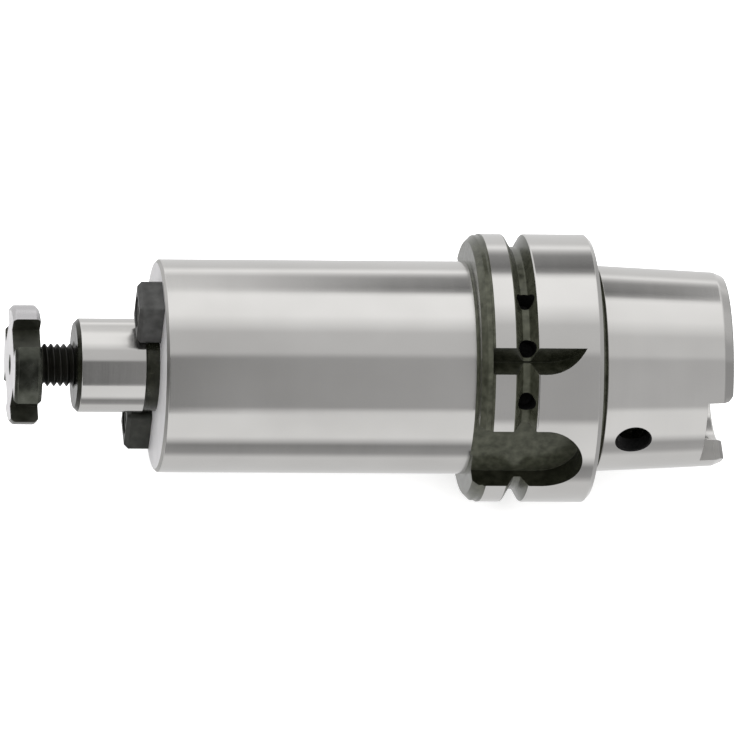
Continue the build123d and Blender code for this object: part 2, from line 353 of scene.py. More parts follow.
def turned_normal(polygon, vertices):
    """(normal along the axis, normal away from it) of a face that was turned round X, or None."""
    centre = polygon.center
    radius = math.hypot(centre.y, centre.z)
    if radius == 0.0:
        return None
    along = polygon.normal.x
    away = (polygon.normal.y * centre.y + polygon.normal.z * centre.z) / radius
    if along * along + away * away < TURNED_MATCH:
        return None
    for index in polygon.vertices:
        point = vertices[index].co
        offset = along * (point.x - centre.x) + away * (math.hypot(point.y, point.z) - radius)
        if abs(offset) > FLAT_TOLERANCE * MM:
            return None
    return along, away


def shade(piece):
    """Gives turned faces the normals of the true surface, and smooths the others by angle."""
    data = piece.data
    turned = [turned_normal(polygon, data.vertices) for polygon in data.polygons]
    neighbours = {}
    for polygon in data.polygons:
        polygon.use_smooth = True
        if turned[polygon.index] is None:
            for index in polygon.vertices:
                neighbours.setdefault(index, []).append(polygon)
    normals = []
    limit = math.cos(SMOOTH_ANGLE)
    for polygon in data.polygons:
        for index in polygon.vertices:
            if turned[polygon.index] is None:
                normal = Vector((0.0, 0.0, 0.0))
                for other in neighbours[index]:
                    if other.normal.dot(polygon.normal) > limit:
                        normal += other.normal * other.area
                normals.append(normal.normalized() if normal.length > 0.0 else polygon.normal)
                continue
            along, away = turned[polygon.index]
            point = data.vertices[index].co
            outward = Vector((0.0, point.y, point.z)).normalized()
            normals.append((Vector((along, 0.0, 0.0)) + outward * away).normalized())
    data.normals_split_custom_set(normals)


def smooth(piece):
    """Smooths every face of a piece."""
    for polygon in piece.data.polygons:
        polygon.use_smooth = True


class Nodes:
    """A small helper that adds and links the nodes of one tree."""

    def __init__(self, tree):
        self.tree = tree

    def add(self, kind, **properties):
        """Adds a node and sets its properties."""
        node = self.tree.nodes.new(kind)
        for name, value in properties.items():
            setattr(node, name, value)
        return node

    def link(self, source, target):
        """Links an output socket to an input socket."""
        self.tree.links.new(source, target)

    def math(self, operation, first, second):
        """A math node whose inputs are sockets or numbers."""
        node = self.add("ShaderNodeMath", operation=operation)
        for socket, value in zip(node.inputs, (first, second)):
            if isinstance(value, (int, float)):
                socket.default_value = value
            else:
                self.link(value, socket)
        return node.outputs[0]

    def ramp(self, source, stops):
        """A colour ramp over (position, grey or colour) stops."""
        node = self.add("ShaderNodeValToRGB")
        elements = node.color_ramp.elements
        while len(elements) < len(stops):
            elements.new(0.5)
        for element, (position, tone) in zip(elements, stops):
            colour = (tone, tone, tone) if isinstance(tone, (int, float)) else tone
            element.position = position
            element.color = (*colour, 1.0)
        self.link(source, node.inputs[0])
        return node.outputs[0]

    def vary(self, pattern, low, high, start=0.3, end=0.7):
        """Turns the middle of a noise pattern into the range between two tones or numbers."""
        return self.ramp(pattern, ((start, low), (end, high)))

    def span(self, source, low, high, to_low=0.0, to_high=1.0):
        """Carries the range from low to high over to another range, and holds the ends."""
        node = self.add("ShaderNodeMapRange")
        node.inputs["From Min"].default_value = low
        node.inputs["From Max"].default_value = high
        node.inputs["To Min"].default_value = to_low
        node.inputs["To Max"].default_value = to_high
        self.link(source, node.inputs["Value"])
        return node.outputs[0]

    def mix(self, blend, factor, first, second):
        """Mixes two colours; the factor and the second colour are sockets or constants."""
        node = self.add("ShaderNodeMix", data_type="RGBA", blend_type=blend)
        self.link(first, node.inputs["A"])
        for name, value in (("Factor", factor), ("B", second)):
            if isinstance(value, (float, tuple)):
                node.inputs[name].default_value = value
            else:
                self.link(value, node.inputs[name])
        return node.outputs["Result"]

    def noise(self, source, along, around=None, detail=3.0):
        """Noise over a place, with a scale along the axis and another one, or the same, across it."""
        across = along if around is None else around
        mapping = self.add("ShaderNodeMapping")
        mapping.inputs["Scale"].default_value = (along, across, across)
        self.link(source, mapping.inputs["Vector"])
        node = self.add("ShaderNodeTexNoise")
        node.inputs["Scale"].default_value = 1.0
        node.inputs["Detail"].default_value = detail
        self.link(mapping.outputs[0], node.inputs["Vector"])
        return node.outputs["Fac"]


def start_material(name):
    """A new material with its node helper, its shader and object coordinates."""
    material = bpy.data.materials.new(name)
    material.use_nodes = True
    nodes = Nodes(material.node_tree)
    shader = material.node_tree.nodes["Principled BSDF"]
    place = nodes.add("ShaderNodeTexCoord").outputs["Object"]
    return material, nodes, shader, place


def finish_surface(nodes, shader, height, strength, edge_radius):
    """Rounds the edges of a surface and gives it a fine relief."""
    edge = nodes.add("ShaderNodeBevel", samples=EDGE_SAMPLES)
    edge.inputs["Radius"].default_value = edge_radius * MM
    bump = nodes.add("ShaderNodeBump")
    bump.inputs["Strength"].default_value = strength
    bump.inputs["Distance"].default_value = RELIEF_HEIGHT * MM
    nodes.link(height, bump.inputs["Height"])
    nodes.link(edge.outputs[0], bump.inputs["Normal"])
    nodes.link(bump.outputs[0], shader.inputs["Normal"])


def ground_steel():
    """Cylindrically ground steel: bright, with fine lines round the axis."""
    material, nodes, shader, place = start_material("ground_steel_round")
    lines = nodes.noise(place, 9000.0, 60.0)
    bands = nodes.noise(place, 260.0, 14.0, detail=2.0)
    cloud = nodes.noise(place, 45.0, 60.0, detail=2.0)
    colour = nodes.vary(cloud, (0.60, 0.59, 0.575), (0.655, 0.645, 0.63))
    rough = nodes.math("MULTIPLY_ADD", lines, 0.06)
    rough.node.inputs[2].default_value = 0.07
    banded = nodes.math("ADD", rough, nodes.math("MULTIPLY", bands, 0.06))
    nodes.link(banded, shader.inputs["Roughness"])
    nodes.link(colour, shader.inputs["Base Color"])
    shader.inputs["Metallic"].default_value = 1.0
    shader.inputs["Anisotropic"].default_value = 0.9
    shader.inputs["Anisotropic Rotation"].default_value = 0.25
    tangent = nodes.add("ShaderNodeTangent", direction_type="RADIAL", axis="X")
    nodes.link(tangent.outputs[0], shader.inputs["Tangent"])
    finish_surface(nodes, shader, lines, 0.12, 0.12)
    return material


def unground_steel(name, dark, light):
    """Hardened, unground steel: dark olive, slightly mottled."""
    material, nodes, shader, place = start_material(name)
    cloud = nodes.noise(place, 520.0, detail=6.0)
    grain = nodes.noise(place, 3200.0)
    nodes.link(nodes.vary(cloud, dark, light), shader.inputs["Base Color"])
    nodes.link(nodes.vary(cloud, 0.17, 0.27), shader.inputs["Roughness"])
    shader.inputs["Metallic"].default_value = 0.45
    shader.inputs["Specular IOR Level"].default_value = 0.5
    finish_surface(nodes, shader, grain, 0.35, 0.15)
    return material


def turned_steel():
    """Fine turned steel, for the hollow, the coolant tube and its nut."""
    material, nodes, shader, place = start_material("turned_steel_fine")
    lines = nodes.noise(place, 5200.0, 40.0)
    cloud = nodes.noise(place, 120.0, detail=3.0)
    colour = nodes.vary(cloud, (0.40, 0.395, 0.38), (0.50, 0.49, 0.475))
    nodes.link(colour, shader.inputs["Base Color"])
    nodes.link(nodes.vary(lines, 0.24, 0.38, 0.2, 0.8), shader.inputs["Roughness"])
    shader.inputs["Metallic"].default_value = 1.0
    finish_surface(nodes, shader, lines, 0.3, 0.12)
    return material


def drilled_steel():
    """The wall of a drilled hole, dull and nearly black: painted shade inside the hole."""
    material, nodes, shader, place = start_material("drilled_steel_painted_shade")
    grain = nodes.noise(place, 1800.0)
    nodes.link(nodes.vary(grain, 0.003, 0.009), shader.inputs["Base Color"])
    nodes.link(nodes.vary(grain, 0.55, 0.70), shader.inputs["Roughness"])
    shader.inputs["Specular IOR Level"].default_value = 0.15
    finish_surface(nodes, shader, grain, 0.2, 0.05)
    return material


def polished_black():
    """Blackened steel with a polished surface, for the outside of the retaining screw's head; one lobe is
    painted light grey as a highlight.
    """
    material, nodes, shader, place = start_material("black_oxide_polished_painted_highlight")
    cloud = nodes.noise(place, 420.0, detail=4.0)
    grain = nodes.noise(place, 3600.0)
    dark = nodes.vary(cloud, (0.06, 0.064, 0.052), (0.13, 0.135, 0.115))
    # Painted highlight: towards one lobe, past a distance from the axis, the colour turns light grey
    reach = nodes.add("ShaderNodeVectorMath", operation="DOT_PRODUCT")
    nodes.link(place, reach.inputs[0])
    turn = math.radians(HIGHLIGHT_LOBE_ANGLE)
    reach.inputs[1].default_value = (0.0, -math.cos(turn), math.sin(turn))
    painted_highlight = nodes.span(reach.outputs["Value"], HIGHLIGHT_FROM * MM, HIGHLIGHT_TO * MM)
    colour = nodes.mix("MIX", painted_highlight, dark, (0.55, 0.54, 0.55, 1.0))
    nodes.link(colour, shader.inputs["Base Color"])
    nodes.link(nodes.vary(cloud, 0.18, 0.30), shader.inputs["Roughness"])
    shader.inputs["Metallic"].default_value = 1.0
    finish_surface(nodes, shader, grain, 0.2, 0.15)
    return material


def satin_steel():
    """Steel with a fine matt finish, for the cutter face."""
    material, nodes, shader, place = start_material("satin_steel_face")
    cloud = nodes.noise(place, 160.0, detail=3.0)
    grain = nodes.noise(place, 2600.0)
    colour = nodes.vary(cloud, (0.70, 0.69, 0.70), (0.78, 0.77, 0.78))
    nodes.link(colour, shader.inputs["Base Color"])
    nodes.link(nodes.vary(grain, 0.50, 0.62, 0.2, 0.8), shader.inputs["Roughness"])
    shader.inputs["Metallic"].default_value = 0.6
    finish_surface(nodes, shader, grain, 0.2, 0.1)
    return material


def black_oxide(name, low, high, edge_radius):
    """Blackened steel with a thin film of oil, for the keys and screws."""
    material, nodes, shader, place = start_material(name)
    cloud = nodes.noise(place, 420.0, detail=4.0)
    grain = nodes.noise(place, 4200.0)
    nodes.link(nodes.vary(cloud, low, high), shader.inputs["Base Color"])
    nodes.link(nodes.vary(grain, 0.34, 0.50, 0.2, 0.8), shader.inputs["Roughness"])
    shader.inputs["Metallic"].default_value = 0.35
    finish_surface(nodes, shader, grain, 0.3, edge_radius)
    return material


def seal_rubber():
    """Matt black rubber for the seals."""
    material, nodes, shader, place = start_material("rubber_matt")
    grain = nodes.noise(place, 2600.0)
    nodes.link(nodes.vary(grain, 0.012, 0.028), shader.inputs["Base Color"])
    nodes.link(nodes.vary(grain, 0.55, 0.75), shader.inputs["Roughness"])
    finish_surface(nodes, shader, grain, 0.4, 0.05)
    return material


def floor_material():
    """A pale, almost white sweep."""
    material, nodes, shader, place = start_material("pale_floor")
    cloud = nodes.noise(place, 3.0)
    nodes.link(nodes.vary(cloud, 0.86, 0.89), shader.inputs["Base Color"])
    shader.inputs["Roughness"].default_value = 0.9
    shader.inputs["Specular IOR Level"].default_value = 0.0
    shader.inputs["Emission Color"].default_value = WHITE
    shader.inputs["Emission Strength"].default_value = 0.62
    return material


# The profile of the arbor body: (x, r, finish of the stretch that follows, edge rounding)
# The milled stretches, at the pilot's front and chamfer, the undercut and the hollow, are painted shade.
BODY_PROFILE = [
    (PILOT_FRONT + SCREW_HOLE_SINK, SCREW_HOLE_RADIUS, UNGROUND, 0.0),
    (PILOT_FRONT, SCREW_HOLE_RADIUS + SCREW_HOLE_SINK, MILLED_SHADE, 0.1),
    (PILOT_FRONT, PILOT_RADIUS - PILOT_CHAMFER, MILLED_SHADE, 0.1),
    (PILOT_FRONT + PILOT_CHAMFER, PILOT_RADIUS, GROUND, 0.15),
    (PILOT_UNDERCUT_START, PILOT_RADIUS, MILLED_SHADE, 0.1),
    (PILOT_UNDERCUT_START + PILOT_UNDERCUT_DEPTH, PILOT_RADIUS - PILOT_UNDERCUT_DEPTH, MILLED_SHADE, 0.0),
    (BODY_FRONT, PILOT_RADIUS - PILOT_UNDERCUT_DEPTH, SATIN, 0.0),
    (BODY_FRONT, BODY_RADIUS - BODY_CHAMFER, TURNED, 0.1),
    (BODY_FRONT + BODY_CHAMFER, BODY_RADIUS, GROUND, 0.1),
    (SHOULDER_FACE - SHOULDER_BEVEL, BODY_RADIUS, UNGROUND, 0.2),
    (SHOULDER_FACE, BODY_RADIUS + SHOULDER_BEVEL, UNGROUND, 0.2),
    (SHOULDER_FACE, SHOULDER_RADIUS - SHOULDER_CHAMFER, UNGROUND, 0.15),
    (SHOULDER_FACE + SHOULDER_CHAMFER, SHOULDER_RADIUS, UNGROUND, 0.15),
    (COLLAR_FACE - COLLAR_BEVEL, SHOULDER_RADIUS, UNGROUND, 0.0),
    (COLLAR_FACE, FLANGE_RADIUS, UNGROUND, 0.05),
    (COLLAR_GRIND, FLANGE_RADIUS, GROUND, 0.0),
    (GROOVE_CENTRE - GROOVE_HALF_TOP, FLANGE_RADIUS, UNGROUND, 0.25),
    (GROOVE_CENTRE - GROOVE_HALF_ROOT, GROOVE_ROOT_RADIUS, UNGROUND, 0.3),
    (GROOVE_CENTRE + GROOVE_HALF_ROOT, GROOVE_ROOT_RADIUS, UNGROUND, 0.3),
    (GROOVE_CENTRE + GROOVE_HALF_TOP, FLANGE_RADIUS, GROUND, 0.25),
    (CONTACT_FACE - FLANGE_CHAMFER, FLANGE_RADIUS, GROUND, 0.15),
    (CONTACT_FACE, FLANGE_RADIUS - FLANGE_CHAMFER, GROUND, 0.15),
    (CONTACT_FACE, TAPER_RADIUS_AT_FACE + FACE_CORNER, UNGROUND, 0.05),
    (CONTACT_FACE - FACE_CORNER, taper_radius(RELIEF_END) - RELIEF_DEPTH, UNGROUND, 0.1),
    (RELIEF_END, taper_radius(RELIEF_END) - RELIEF_DEPTH, UNGROUND, 0.0),
    (RELIEF_END + RELIEF_DEPTH, taper_radius(RELIEF_END + RELIEF_DEPTH), GROUND, 0.1),
    (TAPER_END - TAPER_LEAD_LENGTH, taper_radius(TAPER_END - TAPER_LEAD_LENGTH), GROUND, 0.3),
    (TAPER_END, taper_radius(TAPER_END) - TAPER_LEAD_DEPTH, TURNED, 0.3),
    (TAPER_END, LIP_RADIUS, GROUND, 0.3),
    (LIP_BACK, LIP_RADIUS, GROUND, 0.1),
    (HOLLOW_FRONT, HOLLOW_RADIUS, MILLED_SHADE, 0.0),
    (HOLLOW_BACK, HOLLOW_RADIUS, MILLED_SHADE, 0.8),
    (CONTACT_FACE, HOLLOW_FLOOR_RADIUS, TURNED, 0.0),
    (CONTACT_FACE, SOCKET_RADIUS, TURNED, 0.3),
    (SOCKET_FLOOR, SOCKET_RADIUS, TURNED, 0.0),
    (SOCKET_FLOOR, COOLANT_BORE_RADIUS, TURNED, 0.0),
    (SCREW_HOLE_END + SCREW_HOLE_SINK, COOLANT_BORE_RADIUS, TURNED, 0.0),
    (SCREW_HOLE_END, SCREW_HOLE_RADIUS, UNGROUND, 0.0),
]


def flange_slot_outline(width):
    """A slot with a round end, open towards the body, in a plane that faces away from the axis."""
    half = width / 2.0
    start = SHOULDER_FACE - SHOULDER_BEVEL
    round_end = arc(SLOT_END - half, 0.0, half, -90.0, 90.0, HOLE_SEGMENTS // 2)
    return [(start, -half), *round_end, (start, half)]


def index_notch_outline():
    """The notch seen along Y: a side wall that runs out on the cutter's radius."""
    top = NOTCH_FLOOR + NOTCH_CUTTER_RADIUS
    run_out = arc(NOTCH_RUN_OUT, top, NOTCH_CUTTER_RADIUS, -90.0, 0.0, HOLE_SEGMENTS // 4)
    return [(NOTCH_START, NOTCH_FLOOR), *run_out, (NOTCH_START, top)]


def end_slot_outline(depth):
    """A drive slot of the taper's open end, chamfered at its mouth."""
    half = END_SLOT_HALF_WIDTH
    flare = half + END_SLOT_CHAMFER + PRISM_MARGIN
    side = [
        (TAPER_END - depth, half),
        (TAPER_END - END_SLOT_CHAMFER, half),
        (TAPER_END + PRISM_MARGIN, flare),
    ]
    return [(x, -y) for x, y in side] + side[::-1]


def key_outline(grow):
    """A key's outline seen along the axis, with round corners."""
    corner = KEY_CORNER + grow
    half_width = KEY_WIDTH / 2.0 + grow - corner
    half_length = KEY_LENGTH / 2.0 + grow - corner
    points = []
    for sign_x, sign_y, start in ((1, 1, 0.0), (-1, 1, 90.0), (-1, -1, 180.0), (1, -1, 270.0)):
        centre = (sign_x * half_width, sign_y * half_length)
        points += arc(*centre, corner, start, start + 90.0, CORNER_STEPS)
    return points


def polygon_outline(radius, sides):
    """A regular polygon with its corners on a circle."""
    return arc(0.0, 0.0, radius, 0.0, 360.0 * (sides - 1) / sides, sides - 1)


def box_outline(start, end, width):
    """A straight slot from start to end along the axis."""
    half = width / 2.0
    return [(start, -half), (end, -half), (end, half), (start, half)]


def add_radial_hole(cutters, angle, position, profile):
    """Adds a hole that runs towards the axis, from (distance to the axis, hole radius) points."""
    outward = Matrix.Rotation(math.radians(-90.0), 4, "Y")
    # Hole walls take the drilled finish, which is painted shade.
    points = [(height, radius, DRILLED_SHADE) for height, radius in profile]
    add_turned(cutters, points, radial_frame(angle, position) @ outward, HOLE_SEGMENTS)


def balance_hole_profile():
    """A blind hole with a drill point, from the flange's surface to below the groove's root."""
    floor = GROOVE_ROOT_RADIUS - BALANCE_HOLE_DEPTH
    return [
        (FLANGE_RADIUS, 0.0),
        (FLANGE_RADIUS, BALANCE_HOLE_RADIUS),
        (floor, BALANCE_HOLE_RADIUS),
        (floor - BALANCE_HOLE_POINT, 0.0),
    ]


def wall_hole_profile():
    """A countersunk hole through the wall of the taper."""
    surface = taper_radius(WALL_HOLE_POSITION)
    sink = WALL_HOLE_SINK_RADIUS - WALL_HOLE_RADIUS
    return [
        (surface + CUT_MARGIN, 0.0),
        (surface + CUT_MARGIN, WALL_HOLE_SINK_RADIUS + CUT_MARGIN),
        (surface - sink, WALL_HOLE_RADIUS),
        (LIP_RADIUS, WALL_HOLE_RADIUS),
        (LIP_RADIUS, 0.0),
    ]


def body_cutters():
    """Everything that is milled or drilled into the arbor body."""
    cutters = bmesh.new()
    # The slots' walls and the notch take the milled finish, which is painted shade; the slots' floors
    # take unground steel.
    slot_depth = FLANGE_RADIUS - SLOT_FLOOR_RADIUS + PRISM_MARGIN
    for angle, width in SLOT_WIDTHS.items():
        matrix = radial_frame(angle, 0.0, SLOT_FLOOR_RADIUS)
        add_prism(cutters, flange_slot_outline(width), matrix, slot_depth, MILLED_SHADE, UNGROUND)
    notch_depth = FLANGE_RADIUS - NOTCH_FLOOR + PRISM_MARGIN
    matrix = radial_frame(NOTCH_TILT, 0.0, NOTCH_FLOOR)
    add_prism(cutters, index_notch_outline(), matrix, notch_depth, MILLED_SHADE)
    for angle in BALANCE_HOLE_ANGLES:
        add_radial_hole(cutters, angle, GROOVE_CENTRE, balance_hole_profile())
    for angle in WALL_HOLE_ANGLES:
        add_radial_hole(cutters, angle, WALL_HOLE_POSITION, wall_hole_profile())
    for angle, depth in END_SLOT_DEPTHS.items():
        matrix = radial_frame(angle, 0.0, END_SLOT_FLOOR_RADIUS)
        add_prism(cutters, end_slot_outline(depth), matrix, FLANGE_RADIUS - LIP_RADIUS, TURNED)
    pocket_depth = KEY_BACK - BODY_FRONT + PRISM_MARGIN
    for side in (1.0, -1.0):
        matrix = axial_frame(BODY_FRONT - PRISM_MARGIN, side * KEY_CENTRE_RADIUS)
        add_prism(cutters, key_outline(KEY_CLEARANCE), matrix, pocket_depth, UNGROUND)
    return cutters


def build_arbor_body(materials):
    """The one-piece arbor body: turned, then milled and drilled."""
    profile = round_corners(BODY_PROFILE, True)
    mesh = bmesh.new()
    add_turned(mesh, profile, Matrix.Identity(4), TURNED_SEGMENTS, closed=True)
    piece = make_piece("arbor_body_dressed", mesh, materials)
    subtract(piece, body_cutters())
    shade(piece)
    return piece


def key_axis(side):
    """A matrix on the axis of a key's screw: 1 is the upper key, -1 the lower one."""
    return Matrix.Translation((0.0, 0.0, side * KEY_CENTRE_RADIUS * MM))


def build_drive_key(name, side, materials):
    """A drive key: a prism with round corners, a chamfered end face and a counterbore."""
    mesh = bmesh.new()
    rings = []
    for x, grow in ((KEY_FRONT, -KEY_CHAMFER), (KEY_FRONT + KEY_CHAMFER, 0.0), (KEY_BACK, 0.0)):
        rings.append(outline_vertices(mesh, key_outline(grow), axial_frame(x, side * KEY_CENTRE_RADIUS)))
    for ring, following in zip(rings, rings[1:]):
        for index in range(len(ring)):
            turned = (index + 1) % len(ring)
            mesh.faces.new((ring[index], ring[turned], following[turned], following[index]))
    mesh.faces.new(rings[0])
    mesh.faces.new(rings[-1])
    piece = make_piece(name, mesh, materials)
    cutters = bmesh.new()
    bore_floor = KEY_FRONT + KEY_HEAD_BORE_DEPTH
    shank_bore_radius = KEY_SCREW_SHANK_RADIUS + KEY_SCREW_CLEARANCE
    profile = [
        (KEY_FRONT - CUT_MARGIN, 0.0, 0),
        (KEY_FRONT - CUT_MARGIN, KEY_HEAD_BORE_RADIUS, 0),
        (bore_floor, KEY_HEAD_BORE_RADIUS, 0),
        (bore_floor, shank_bore_radius, 0),
        (KEY_BACK + CUT_MARGIN, shank_bore_radius, 0),
        (KEY_BACK + CUT_MARGIN, 0.0, 0),
    ]
    add_turned(cutters, profile, key_axis(side), HOLE_SEGMENTS)
    subtract(piece, cutters)
    shade(piece)
    return piece


def build_key_screw(name, side, materials):
    """A socket cap screw, sunk in its key."""
    seat = KEY_SCREW_TOP + KEY_SCREW_HEAD_HEIGHT
    profile = [
        (KEY_SCREW_TOP, 0.0, 0, 0.0),
        (KEY_SCREW_TOP, KEY_SCREW_HEAD_RADIUS - KEY_SCREW_HEAD_CHAMFER, 0, 0.2),
        (KEY_SCREW_TOP + KEY_SCREW_HEAD_CHAMFER, KEY_SCREW_HEAD_RADIUS, 0, 0.2),
        (seat, KEY_SCREW_HEAD_RADIUS, 0, 0.2),
        (seat, KEY_SCREW_SHANK_RADIUS, 0, 0.1),
        (KEY_SCREW_TIP - KEY_SCREW_TIP_CHAMFER, KEY_SCREW_SHANK_RADIUS, 0, 0.1),
        (KEY_SCREW_TIP, KEY_SCREW_SHANK_RADIUS - KEY_SCREW_TIP_CHAMFER, 0, 0.1),
        (KEY_SCREW_TIP, 0.0, 0, 0.0),
    ]
    mesh = bmesh.new()
    add_turned(mesh, round_corners(profile, False), key_axis(side), SMALL_SEGMENTS)
    piece = make_piece(name, mesh, materials)
    cutters = bmesh.new()
    socket = polygon_outline(KEY_SCREW_SOCKET_FLATS / math.sqrt(3.0), 6)
    matrix = axial_frame(KEY_SCREW_TOP - CUT_MARGIN, side * KEY_CENTRE_RADIUS)
    add_prism(cutters, socket, matrix, KEY_SCREW_SOCKET_DEPTH + CUT_MARGIN, 0)
    subtract(piece, cutters)
    shade(piece)
    return piece


def add_thread(mesh, start, end):
    """A helical thread between two positions: one profile carried round the axis."""
    middle = THREAD_PITCH * 0.5
    corner_radius = THREAD_ROOT_RADIUS + THREAD_ROOT_CORNER
    profile = [
        (THREAD_HALF_FLAT, THREAD_CREST_RADIUS),
        (middle - THREAD_HALF_FLAT, corner_radius),
        (middle, THREAD_ROOT_RADIUS),
        (middle + THREAD_HALF_FLAT, corner_radius),
        (THREAD_PITCH - THREAD_HALF_FLAT, THREAD_CREST_RADIUS),
    ]
    turns = int((end - start) / THREAD_PITCH) + 2
    last = turns * THREAD_STEPS
    rows = []
    for step in range(last + 1):
        turn = 2.0 * math.pi * step / THREAD_STEPS
        base = start - THREAD_PITCH + THREAD_PITCH * step / THREAD_STEPS
        row = []
        for offset, radius in profile:
            x = min(max(base + offset, start), end)
            run_out = THREAD_ROOT_RADIUS + (x - start) * THREAD_RUN_OUT_SLOPE
            tip = THREAD_ROOT_RADIUS - THREAD_TIP_DEPTH + (end - x) * THREAD_TIP_SLOPE
            radius = min(radius, run_out, tip)
            place = Vector((x, radius * math.cos(turn), radius * math.sin(turn)))
            row.append(mesh.verts.new(place * MM))
        rows.append(row)
    for step in range(last):
        row = rows[step]
        following = rows[step + 1]
        for index in range(len(profile) - 1):
            mesh.faces.new((row[index], following[index], following[index + 1], row[index + 1]))
        if step + THREAD_STEPS < last:
            turned_row = rows[step + THREAD_STEPS]
            turned_following = rows[step + THREAD_STEPS + 1]
            mesh.faces.new((row[-1], following[-1], turned_following[0], turned_row[0]))


def build_retaining_screw(materials, thread_materials):
    """The castellated retaining screw with its thread."""
    profile = [
        (HEAD_FRONT + CENTRE_HOLE_DEPTH, 0.0, 0, 0.0),
        (HEAD_FRONT + CENTRE_HOLE_SINK_DEPTH, CENTRE_HOLE_RADIUS, 0, 0.1),
        (HEAD_FRONT, CENTRE_HOLE_SINK_RADIUS, HEAD_FACE, 0.2),
        (HEAD_FRONT, HEAD_RADIUS - HEAD_EDGE, HEAD_RIM, 0.3),
        (HEAD_FRONT + HEAD_EDGE, HEAD_RADIUS, HEAD_RIM, 0.3),
        (HEAD_BACK - HEAD_EDGE, HEAD_RADIUS, HEAD_RIM, 0.3),
        (HEAD_BACK, HEAD_RADIUS - HEAD_EDGE, 0, 0.3),
        (HEAD_BACK, THREAD_CORE_RADIUS, 0, 0.0),
        (SCREW_TIP, THREAD_CORE_RADIUS, 0, 0.3),
        (SCREW_TIP, 0.0, 0, 0.0),
    ]
    mesh = bmesh.new()
    add_turned(mesh, round_corners(profile, False), Matrix.Identity(4), HEAD_SEGMENTS)
    piece = make_piece("retaining_screw_dressed", mesh, materials)
    cutters = bmesh.new()
    pitch = 360.0 / HEAD_NOTCH_COUNT
    reach = HEAD_RADIUS - HEAD_NOTCH_FLOOR + PRISM_MARGIN
    outline = box_outline(HEAD_FRONT - CUT_MARGIN, HEAD_BACK + CUT_MARGIN, HEAD_NOTCH_WIDTH)
    for notch in range(HEAD_NOTCH_COUNT):
        matrix = radial_frame(HEAD_LOBE_ANGLE + pitch * (notch + 0.5), 0.0, HEAD_NOTCH_FLOOR)
        add_prism(cutters, outline, matrix, reach, 0)
    subtract(piece, cutters)
    shade(piece)
    thread_mesh = bmesh.new()
    add_thread(thread_mesh, HEAD_BACK, SCREW_TIP)
    thread = make_piece("retaining_screw_thread", thread_mesh, thread_materials)
    smooth(thread)
    thread.data.set_sharp_from_angle(angle=SMOOTH_ANGLE)
    return piece, thread


def build_coolant_tube(materials):
    """The coolant tube with its collar and rounded tip."""
    profile = [
        (TUBE_BACK, TUBE_BORE_RADIUS, 0, 0.2),
        (TUBE_BACK, TUBE_COLLAR_RADIUS, 0, 0.3),
        (TUBE_COLLAR_FRONT, TUBE_COLLAR_RADIUS, 0, 0.3),
        (TUBE_COLLAR_FRONT, TUBE_NECK_RADIUS, 0, 0.2),
        (TUBE_NECK_END, TUBE_NECK_RADIUS, 0, 0.0),
        (TUBE_NECK_END, TUBE_RADIUS, 0, 0.1),
        (TUBE_TIP - TUBE_TIP_CHAMFER, TUBE_RADIUS, 0, 0.5),
        (TUBE_TIP, TUBE_RADIUS - TUBE_TIP_CHAMFER, 0, 0.3),
        (TUBE_TIP, TUBE_BORE_RADIUS, 0, 0.3),
    ]
    mesh = bmesh.new()
    add_turned(mesh, round_corners(profile, True), Matrix.Identity(4), SMALL_SEGMENTS, closed=True)
    piece = make_piece("coolant_tube_dressed", mesh, materials)
    shade(piece)
    return piece


def build_coolant_nut(materials):
    """The union nut, slotted for its wrench."""
    profile = [
        (NUT_BACK, NUT_BORE_RADIUS, 0, 0.1),
        (NUT_BACK, NUT_RADIUS, 0, 0.3),
        (NUT_MOUTH, NUT_RADIUS, 0, 0.4),
        (NUT_MOUTH, NUT_BORE_RADIUS, 0, 0.3),
    ]
    mesh = bmesh.new()
    add_turned(mesh, round_corners(profile, True), Matrix.Identity(4), SMALL_SEGMENTS, closed=True)
    piece = make_piece("coolant_nut_dressed", mesh, materials)
    cutters = bmesh.new()
    outline = box_outline(NUT_MOUTH - NUT_SLOT_DEPTH, NUT_MOUTH + CUT_MARGIN, NUT_SLOT_WIDTH)
    pitch = 360.0 / NUT_SLOT_COUNT
    for slot in range(NUT_SLOT_COUNT):
        matrix = radial_frame(NUT_SLOT_ANGLE + pitch * slot, 0.0, NUT_BORE_RADIUS - CUT_MARGIN)
        add_prism(cutters, outline, matrix, NUT_RADIUS, 0)
    subtract(piece, cutters)
    shade(piece)
    return piece


def build_seal(name, position, materials):
    """A round seal ring."""
    section = polygon_outline(SEAL_RADIUS, SEAL_STEPS)
    profile = [(position + x, SEAL_RING_RADIUS + y, 0) for x, y in section]
    mesh = bmesh.new()
    add_turned(mesh, profile, Matrix.Identity(4), SMALL_SEGMENTS, closed=True)
    piece = make_piece(name, mesh, materials)
    smooth(piece)
    return piece


BODY_OF = {node: body for body, nodes in frame["record"]["behaviour"]["bodies"].items() for node in nodes}


def dress(piece, node):
    """Lets a piece stand for a solid of the frame, on its body, and hides the solid."""
    body = BODY_OF[node]
    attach(piece, body)
    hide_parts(node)


ground = ground_steel()
unground = unground_steel("hardened_steel_dark", (0.034, 0.036, 0.024), (0.085, 0.088, 0.064))
# A darker copy of the unground steel: painted shade for the milled recesses.
milled = unground_steel("hardened_steel_milled_painted_shade", (0.008, 0.009, 0.005), (0.026, 0.027, 0.018))
turned_finish = turned_steel()
satin = satin_steel()
drilled = drilled_steel()
polished = polished_black()
